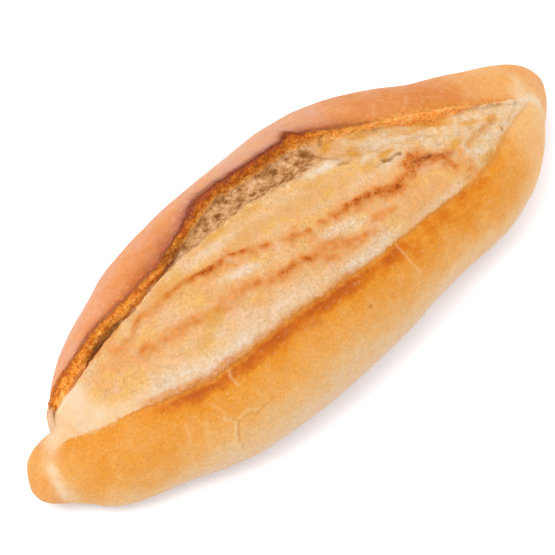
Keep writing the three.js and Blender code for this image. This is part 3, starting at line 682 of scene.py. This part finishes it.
sizes = np.concatenate([np.full(len(quads), 4), np.full(2 * cols, 3)])
starts = np.concatenate([[0], np.cumsum(sizes)[:-1]]).astype(np.int32)
me.loops.add(len(loops))
me.loops.foreach_set("vertex_index", loops)
me.polygons.add(len(sizes))
me.polygons.foreach_set("loop_start", starts)
me.update(calc_edges=True)
me.validate()
me.polygons.foreach_set("use_smooth", np.ones(len(sizes), bool))
for name, values in M.items():
    at = me.attributes.new("m_" + name, "FLOAT", "POINT")
    v = np.concatenate([np.broadcast_to(values, Y.shape).ravel(), [float(np.mean(values[0])), float(np.mean(values[-1]))]])
    at.data.foreach_set("value", v.astype(np.float32))
# flat map: u along the loaf, v around it from a seam in the base
u_at = np.concatenate([[0], np.cumsum(np.linalg.norm(np.diff(P, axis=0), axis=-1).mean(1))])
u_at = 0.01 + 0.98 * (u_at + 4.0) / (u_at[-1] + 8.0)
v_at = np.append(girth, girth[:, [-1]] + np.linalg.norm(P[:, 0] - P[:, -1], axis=-1)[:, None], 1)
v_at = (v_at / v_at[:, [-1]])[rows // 8: -rows // 8].mean(0) * 0.98 + 0.01
quad_uv = np.stack([np.stack([u_at[ii], v_at[jj]], -1), np.stack([u_at[ii + 1], v_at[jj]], -1),
                    np.stack([u_at[ii + 1], v_at[jj + 1]], -1), np.stack([u_at[ii], v_at[jj + 1]], -1)], 2)
k = np.arange(cols)
va, vb, vm = v_at[k], v_at[k + 1], (v_at[k] + v_at[k + 1]) / 2
lo, hi = np.full(cols, 0.01), np.full(cols, 0.99)
left_uv = np.stack([np.stack([lo, vm], -1), np.stack([lo + u_at[0] - 0.01, va], -1), np.stack([lo + u_at[0] - 0.01, vb], -1)], 1)
right_uv = np.stack([np.stack([hi, vm], -1), np.stack([hi + u_at[-1] - 0.99, vb], -1),
                     np.stack([hi + u_at[-1] - 0.99, va], -1)], 1)
uv = me.uv_layers.new(name="OFBake")
uv.data.foreach_set("uv", np.concatenate([quad_uv.ravel(), left_uv.ravel(), right_uv.ravel()]).astype(np.float32))
me.update()
loaf = bpy.data.objects.new("loaf_baked", me)
bpy.context.scene.collection.objects.link(loaf)


# --------------------------------------------------------------- material
SHEEN = 0.016                                     # what the slight gloss adds to every colour


def shade(r, g, b, light=1.65):
    """a surface colour that looks like this where the light on it is that strong"""
    out = []
    for v in (r, g, b):
        v /= 255.0
        v = v / 12.92 if v <= 0.04045 else ((v + 0.055) / 1.055) ** 2.4
        out.append(max(v - SHEEN, 0.003) / (0.945 * light))
    return (*out, 1.0)


class Nodes:
    def __init__(self, mat):
        mat.use_nodes = True
        self.t = mat.node_tree
        self.t.nodes.clear()

    def new(self, kind, **props):
        n = self.t.nodes.new(kind)
        for k, v in props.items():
            setattr(n, k, v)
        return n

    def put(self, socket, value):
        if isinstance(value, bpy.types.NodeSocket):
            self.t.links.new(value, socket)
        else:
            socket.default_value = value

    def attr(self, name):
        return self.new("ShaderNodeAttribute", attribute_name="m_" + name).outputs["Fac"]

    def math(self, op, a, b=0.0, clamp=False):
        n = self.new("ShaderNodeMath", operation=op, use_clamp=clamp)
        self.put(n.inputs[0], a)
        self.put(n.inputs[1], b)
        return n.outputs[0]

    def mix(self, f, a, b, mode="MIX"):
        n = self.new("ShaderNodeMix", data_type="RGBA", blend_type=mode, clamp_factor=True)
        self.put(n.inputs[0], f)
        self.put(n.inputs[6], a)
        self.put(n.inputs[7], b)
        return n.outputs[2]

    def range(self, v, a, b, c=0.0, d=1.0):
        n = self.new("ShaderNodeMapRange", interpolation_type="SMOOTHSTEP")
        self.put(n.inputs[0], v)
        for i, s in enumerate((a, b, c, d)):
            n.inputs[i + 1].default_value = s
        return n.outputs[0]

    def noise(self, where, size_mm, detail=2.0, rough=0.5, distort=0.0):
        n = self.new("ShaderNodeTexNoise")
        self.put(n.inputs["Vector"], where)
        n.inputs["Scale"].default_value = 1000.0 / size_mm
        n.inputs["Detail"].default_value = detail
        n.inputs["Roughness"].default_value = rough
        n.inputs["Distortion"].default_value = distort
        return n.outputs[0]

    def stops(self, v, *pairs):
        """a colour ramp through the given (position, colour) pairs"""
        n = self.new("ShaderNodeValToRGB")
        n.color_ramp.interpolation = "LINEAR"
        el = n.color_ramp.elements
        while len(el) < len(pairs):
            el.new(0.5)
        for e, (at_, c_) in zip(el, pairs):
            e.position = at_
        for e, (at_, c_) in zip(el, pairs):
            e.position, e.color = at_, c_
        self.put(n.inputs[0], v)
        return n.outputs[0]


mat = bpy.data.materials.new("baked_bread")
T = Nodes(mat)
where = T.new("ShaderNodeTexCoord").outputs["Object"]
A = {k: T.attr(k) for k in M}
one = lambda v: T.math("SUBTRACT", 1.0, v)
mul = lambda a, b: T.math("MULTIPLY", a, b)
add = lambda a, b: T.math("ADD", a, b)
off = lambda tex, k: mul(T.math("SUBTRACT", tex, 0.5), k)         # noise about zero, times k

blotch = T.noise(where, 22, 3, 0.55)
patch = T.noise(where, 8, 3, 0.6)
mottle = T.noise(where, 3.4, 3, 0.6)
grain = T.noise(where, 1.5, 4, 0.65)
fine = T.noise(where, 0.8, 3, 0.6)
g01 = T.range(grain, 0.34, 0.66)
m01 = T.range(mottle, 0.34, 0.66)
f01 = T.range(fine, 0.34, 0.66)
p01 = T.range(patch, 0.36, 0.64)


def grains(m, lo=0.85, hi=1.35):
    """a mask broken into grains: dense where m is 1, a scatter where it is low"""
    return mul(T.range(add(m, g01), lo, hi), T.range(m, 0.02, 0.22))


def lit(col, amount, per=(0.60, 0.98, 1.55)):
    """col made lighter and darker by a factor about 1, its darker grains also browner"""
    f = T.new("ShaderNodeVectorMath", operation="MULTIPLY_ADD")
    T.put(f.inputs[0], amount)
    f.inputs[1].default_value = per
    f.inputs[2].default_value = (1.0, 1.0, 1.0)
    n = T.new("ShaderNodeVectorMath", operation="MULTIPLY")
    T.put(n.inputs[0], col)
    T.put(n.inputs[1], f.outputs[0])
    return n.outputs[0]


# smooth crust, near side: browned under the rim, paling to the foot
d = add(add(A["brown"], off(patch, 0.42)), off(mottle, 0.30))
near = T.stops(d, (0.0, shade(233, 196, 158, 1.47)), (0.15, shade(235, 192, 142, 1.48)), (0.30, shade(237, 184, 121, 1.50)),
               (0.45, shade(240, 174, 98, 1.54)), (0.60, shade(242, 165, 78, 1.62)), (0.75, shade(240, 153, 54, 1.64)),
               (0.88, shade(224, 124, 30, 1.67)), (1.0, shade(202, 101, 20, 1.68)))
# far side: pinkish tan to orange, with a browned band along the flap's edge; where that band turns lilac, the lilac is
# a painted reflection of the sky
e = add(add(A["tan"], off(patch, 0.44)), off(mottle, 0.30))
far = T.stops(e, (0.0, shade(241, 188, 154, 1.78)), (0.35, shade(236, 172, 136, 1.78)), (0.60, shade(241, 161, 104, 1.78)),
              (0.80, shade(237, 146, 78, 1.76)), (1.0, shade(226, 131, 64, 1.74)))
# the browned band, and its lilac copy carrying the painted reflection
dark = T.mix(A["lilac"], T.mix(m01, shade(166, 78, 32, 1.75), shade(196, 100, 48, 1.75)),
             T.mix(m01, shade(156, 80, 62, 1.75), shade(190, 112, 90, 1.75)))
far = T.mix(mul(T.range(T.noise(where, 12, 2, 0.5), 0.50, 0.64), 0.35), far, shade(247, 172, 98, 1.78))
far = T.mix(add(A["purple"], mul(A["purple"], off(mottle, 0.9))), far, dark)
col = T.mix(A["farside"], near, far)
col = T.mix(mul(A["glow"], 0.45), col, shade(254, 204, 146, 1.60))
# light flecks, darker freckles and hairline creases in the skin
col = T.mix(mul(T.range(T.noise(where, 1.3, 3, 0.6), 0.58, 0.74), 0.26), col, shade(214, 128, 50))
col = T.mix(mul(T.range(T.noise(where, 1.9, 2, 0.5), 0.60, 0.72), 0.22), col, shade(252, 208, 150))
creases = T.new("ShaderNodeTexVoronoi", feature="DISTANCE_TO_EDGE")
skew = T.new("ShaderNodeMapping")
skew.inputs["Rotation"].default_value = (0.0, 0.0, math.radians(38))
skew.inputs["Scale"].default_value = (1.0, 0.42, 0.6)
warp = T.new("ShaderNodeVectorMath", operation="MULTIPLY_ADD")
nz = T.new("ShaderNodeTexNoise")
T.put(nz.inputs["Vector"], where)
nz.inputs["Scale"].default_value = 120.0
T.put(warp.inputs[0], nz.outputs["Color"])
warp.inputs[1].default_value = (0.006, 0.006, 0.006)
T.put(warp.inputs[2], where)
T.put(skew.inputs["Vector"], warp.outputs[0])
T.put(creases.inputs["Vector"], skew.outputs[0])
creases.inputs["Scale"].default_value = 190.0
line = mul(T.range(creases.outputs["Distance"], 0.05, 0.0), T.range(T.noise(where, 9, 2, 0.5), 0.52, 0.66))
col = T.mix(mul(line, 0.07), col, shade(250, 204, 146))
col = T.mix(mul(A["blister"], 0.30), col, shade(252, 216, 166))
# painted highlight along the raised edges of the creases
col = T.mix(mul(A["fold"], 0.48), col, shade(254, 212, 152))
# painted shade inside the cracks of the skin
col = T.mix(mul(A["split"], 0.45), col, shade(208, 142, 72))
col = T.mix(mul(A["prick"], 0.7), col, shade(178, 108, 44))
col = T.mix(mul(A["rusty"], add(mul(g01, 0.5), 0.25)), col, shade(204, 100, 34))
col = T.mix(mul(A["tips"], 0.65), col, T.mix(p01, shade(238, 148, 72, 1.6), shade(246, 172, 100, 1.6)))
col = T.mix(A["under"], col, T.mix(p01, shade(226, 160, 92, 1.5), shade(236, 184, 124, 1.5)))

# the burst: its colour follows how brown it is
rough = one(mul(A["skin"], 0.70))
calm = one(T.math("MINIMUM", mul(A["toast"], 1.5), 1.0))
t = add(A["tone"], mul(A["toast"], add(mul(g01, 0.42), add(add(mul(m01, 0.12), mul(f01, 0.40)), 0.11))))
t = add(t, add(off(patch, 0.44), mul(rough, off(mottle, 0.38))))
t = add(t, mul(rough, add(off(grain, 0.14), mul(A["warm"], off(grain, 0.40)))))
b = T.stops(mul(t, 0.8), (0.0, shade(252, 224, 190)), (0.10, shade(250, 214, 172)), (0.20, shade(248, 203, 151)),
            (0.40, shade(247, 184, 120)), (0.56, shade(240, 156, 86)), (0.68, shade(226, 134, 64)),
            (0.82, shade(204, 106, 44)), (1.0, shade(160, 74, 24)))
b = T.mix(mul(mul(T.range(T.noise(where, 13, 2, 0.5), 0.50, 0.60), calm), mul(rough, 0.60)), b, shade(250, 194, 110))
b = T.mix(mul(mul(T.range(T.noise(where, 9.5, 2, 0.5), 0.54, 0.64), calm), 0.34), b, shade(247, 208, 176))
b = T.mix(mul(A["white"], T.range(mottle, 0.3, 0.6, 0.50, 1.0)), b, shade(248, 221, 192))
b = T.mix(mul(A["gold"], T.range(mottle, 0.3, 0.6, 0.70, 1.0)), b, T.mix(g01, shade(246, 186, 88), shade(224, 148, 50)))
# crumbly pale part at the right
crumb_col = T.mix(m01, shade(254, 232, 206), shade(238, 186, 120))
crumb_col = T.mix(mul(p01, 0.45), crumb_col, shade(247, 206, 148))
crumb_col = T.mix(mul(T.range(grain, 0.52, 0.66), 0.50), crumb_col, shade(216, 170, 116))
b = T.mix(mul(mul(A["crumb"], one(mul(A["toast"], 0.8))), 0.66), b, crumb_col)
b = T.mix(mul(mul(A["crumb"], A["gold"]), 0.90), b, T.mix(g01, shade(246, 178, 78), shade(226, 146, 50)))
b = T.mix(mul(A["rust"], add(mul(g01, 0.5), 0.4)), b, T.mix(g01, shade(242, 168, 84), shade(218, 130, 56)))
b = T.mix(mul(A["smear"], T.range(mottle, 0.3, 0.62, 0.35, 0.85)), b, T.mix(f01, shade(180, 136, 92), shade(210, 168, 122)))
b = lit(b, mul(A["shady"], 0.42), (1.0, 1.0, 1.0))
# the porous hollow under the flap
h = add(add(off(mottle, 1.5), off(grain, 0.8)), add(off(fine, 0.2), off(patch, 1.1)))
# painted shade: the hollow's colour is darker in its pits
h = T.math("SUBTRACT", add(h, 0.54), mul(A["pore"], 0.36))
h = T.math("SUBTRACT", h, mul(A["smear"], 0.22))
hol = T.stops(h, (0.0, shade(144, 98, 58, 1.34)), (0.22, shade(178, 126, 78, 1.34)), (0.45, shade(206, 154, 102, 1.34)),
              (0.70, shade(224, 176, 126, 1.34)), (1.0, shade(240, 202, 158, 1.34)))
hol = T.mix(mul(A["gold"], 0.60), hol, shade(236, 178, 90, 1.34))
pocket = mul(T.range(add(A["hollow"], add(off(mottle, 0.9), off(grain, 0.6))), 0.22, 0.78), T.range(A["hollow"], 0.02, 0.20))
b = T.mix(pocket, b, hol)
# the torn face: golden at its foot, brown and purple towards the lip
up = T.attr("up")
fc = add(up, add(off(mottle, 1.1), off(grain, 1.3)))
face_col = T.stops(fc, (0.0, shade(246, 190, 116, 1.02)), (0.22, shade(232, 156, 78, 1.02)), (0.45, shade(206, 124, 50, 1.00)),
                   (0.66, shade(182, 94, 40, 0.98)), (0.84, shade(164, 84, 52, 1.05)), (1.0, shade(152, 78, 60, 1.15)))
face_col = T.mix(mul(T.range(fine, 0.52, 0.66), 0.62), face_col, shade(112, 60, 14, 1.05))
face_col = T.mix(mul(T.range(T.noise(where, 1.2, 3, 0.6), 0.53, 0.65), T.range(up, 0.30, 0.75, 0.58, 0.22)), face_col, shade(240, 180, 92, 1.05))
face_col = T.mix(mul(T.range(T.noise(where, 2.8, 3, 0.6), 0.54, 0.64), 0.55), face_col, shade(150, 88, 26, 1.05))
b = T.mix(mul(A["face"], one(pocket)), b, face_col)
b = T.mix(mul(A["char"], add(mul(g01, 0.45), 0.60)), b, shade(150, 66, 14))
# painted shade: the narrow slits and pits are darkened
b = T.mix(mul(A["slot"], T.range(grain, 0.30, 0.58, 0.55, 0.95)), b, shade(136, 84, 32, 1.3))
b = lit(b, mul(rough, add(add(off(mottle, 0.42), off(patch, 0.20)), add(off(grain, 0.74), off(fine, 0.62)))))
b = lit(b, mul(A["toast"], add(off(grain, 1.5), off(fine, 1.3))))
col = lit(col, add(off(mottle, 0.34), add(off(grain, 0.42), off(fine, 0.55))))
edge = mul(T.range(add(A["open"], off(grain, 1.1)), 0.22, 0.78), T.range(A["open"], 0.02, 0.20))
col = T.mix(edge, col, b)
col = T.mix(mul(A["neck"], 0.85), col, T.mix(m01, shade(252, 208, 158, 1.66), shade(250, 196, 142, 1.66)))
speck_col = T.mix(g01, shade(248, 170, 90), shade(218, 122, 46))
speck_col = lit(speck_col, mul(A["steep"], 0.42), (1.0, 1.0, 1.0))
speck_col = T.mix(mul(T.range(mottle, 0.50, 0.66), 0.6), speck_col, shade(242, 180, 88))
col = T.mix(mul(A["speck"], add(mul(g01, 0.30), 0.68)), col, lit(speck_col, add(off(grain, 0.8), off(fine, 0.9))))
col = T.mix(mul(A["endpale"], T.range(mottle, 0.3, 0.6, 0.60, 0.95)), col, shade(252, 222, 184, 1.60))
col = T.mix(mul(A["ragged"], add(mul(g01, 0.50), 0.50)), col, lit(T.mix(m01, shade(242, 162, 84), shade(226, 130, 54)), add(off(grain, 0.8), off(fine, 0.8))))
col = T.mix(mul(A["kink"], 0.8), col, T.mix(g01, shade(190, 108, 52, 1.3), shade(140, 72, 36, 1.3)))
col = T.mix(mul(A["lipline"], T.range(mottle, 0.3, 0.6, 0.75, 1.0)), col, T.mix(m01, shade(112, 50, 38, 1.35), shade(142, 72, 52, 1.35)))
col = T.mix(mul(A["shadow"], 0.92), col, T.mix(g01, shade(212, 138, 64, 1.0), shade(164, 92, 30, 1.0)))
# painted shade: dark brown line in the crevice at the foot of the torn face
col = T.mix(mul(A["groove"], 0.94), col, shade(92, 46, 12, 0.95))
# painted shade: the recess where the torn face meets the hollow is darkened
col = T.mix(mul(A["nook"], add(mul(g01, 0.5), 0.4)), col, shade(122, 64, 20, 1.0))

col = lit(col, A["even"], (1.0, 1.0, 1.0))
col = lit(col, A["rosy"], (1.0, 0.60, 0.20))
shader = T.new("ShaderNodeBsdfPrincipled")
T.put(shader.inputs["Base Color"], col)
T.put(shader.inputs["Roughness"], T.math("ADD", T.math("MULTIPLY", A["open"], 0.25),
                                         T.range(patch, 0.3, 0.7, 0.54, 0.64)))
shader.inputs["Specular IOR Level"].default_value = 0.12
# relief finer than the mesh
soft_h = add(mul(T.noise(where, 2.6, 2, 0.5), 0.30), mul(fine, 0.16))
soft_h = add(soft_h, mul(line, 0.06))
rough_h = add(mul(grain, 1.0), mul(fine, 0.6))
height = T.new("ShaderNodeMix", data_type="FLOAT")
T.put(height.inputs[0], mul(A["open"], one(mul(A["skin"], 0.8))))
T.put(height.inputs[2], soft_h)
T.put(height.inputs[3], rough_h)
bump = T.new("ShaderNodeBump")
bump.inputs["Strength"].default_value = 0.7
bump.inputs["Distance"].default_value = 0.0009
T.put(bump.inputs["Height"], height.outputs[0])
T.put(shader.inputs["Normal"], bump.outputs["Normal"])
out = T.new("ShaderNodeOutputMaterial")
T.put(out.inputs["Surface"], shader.outputs[0])
me.materials.append(mat)

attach(loaf, "root")
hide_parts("loaf")

# -------------------------------------------------------- floor and lights
bpy.ops.mesh.primitive_plane_add(size=6.0, location=(0, 0, -0.0002))
floor = bpy.context.object
floor.name = "floor"
fm = bpy.data.materials.new("pale_floor")
fm.use_nodes = True
fm.node_tree.nodes["Principled BSDF"].inputs["Base Color"].default_value = (0.955, 0.965, 0.985, 1)
fm.node_tree.nodes["Principled BSDF"].inputs["Emission Color"].default_value = (0.45, 0.62, 1.0, 1)
fm.node_tree.nodes["Principled BSDF"].inputs["Emission Strength"].default_value = 0.07
fm.node_tree.nodes["Principled BSDF"].inputs["Roughness"].default_value = 0.9
fm.node_tree.nodes["Principled BSDF"].inputs["Specular IOR Level"].default_value = 0.0
floor.data.materials.append(fm)


def area(name, size, watts, at, to=(0, 0, 0.03)):
    d = bpy.data.lights.new(name, "AREA")
    d.shape = "SQUARE"
    d.size = size
    d.energy = watts
    o = bpy.data.objects.new(name, d)
    o.location = at
    o.rotation_euler = (Vector(to) - Vector(at)).to_track_quat("-Z", "Y").to_euler()
    bpy.context.scene.collection.objects.link(o)
    return o


area("key", 1.2, 23.0, (-0.80, 0.34, 2.04))
world = bpy.data.worlds.new("studio")
world.use_nodes = True
world.node_tree.nodes["Background"].inputs["Color"].default_value = (0.965, 0.98, 1.0, 1)
world.node_tree.nodes["Background"].inputs["Strength"].default_value = 1.22
bpy.context.scene.world = world
bpy.context.scene.view_settings.view_transform = "Standard"
bpy.context.scene.view_settings.look = "None"
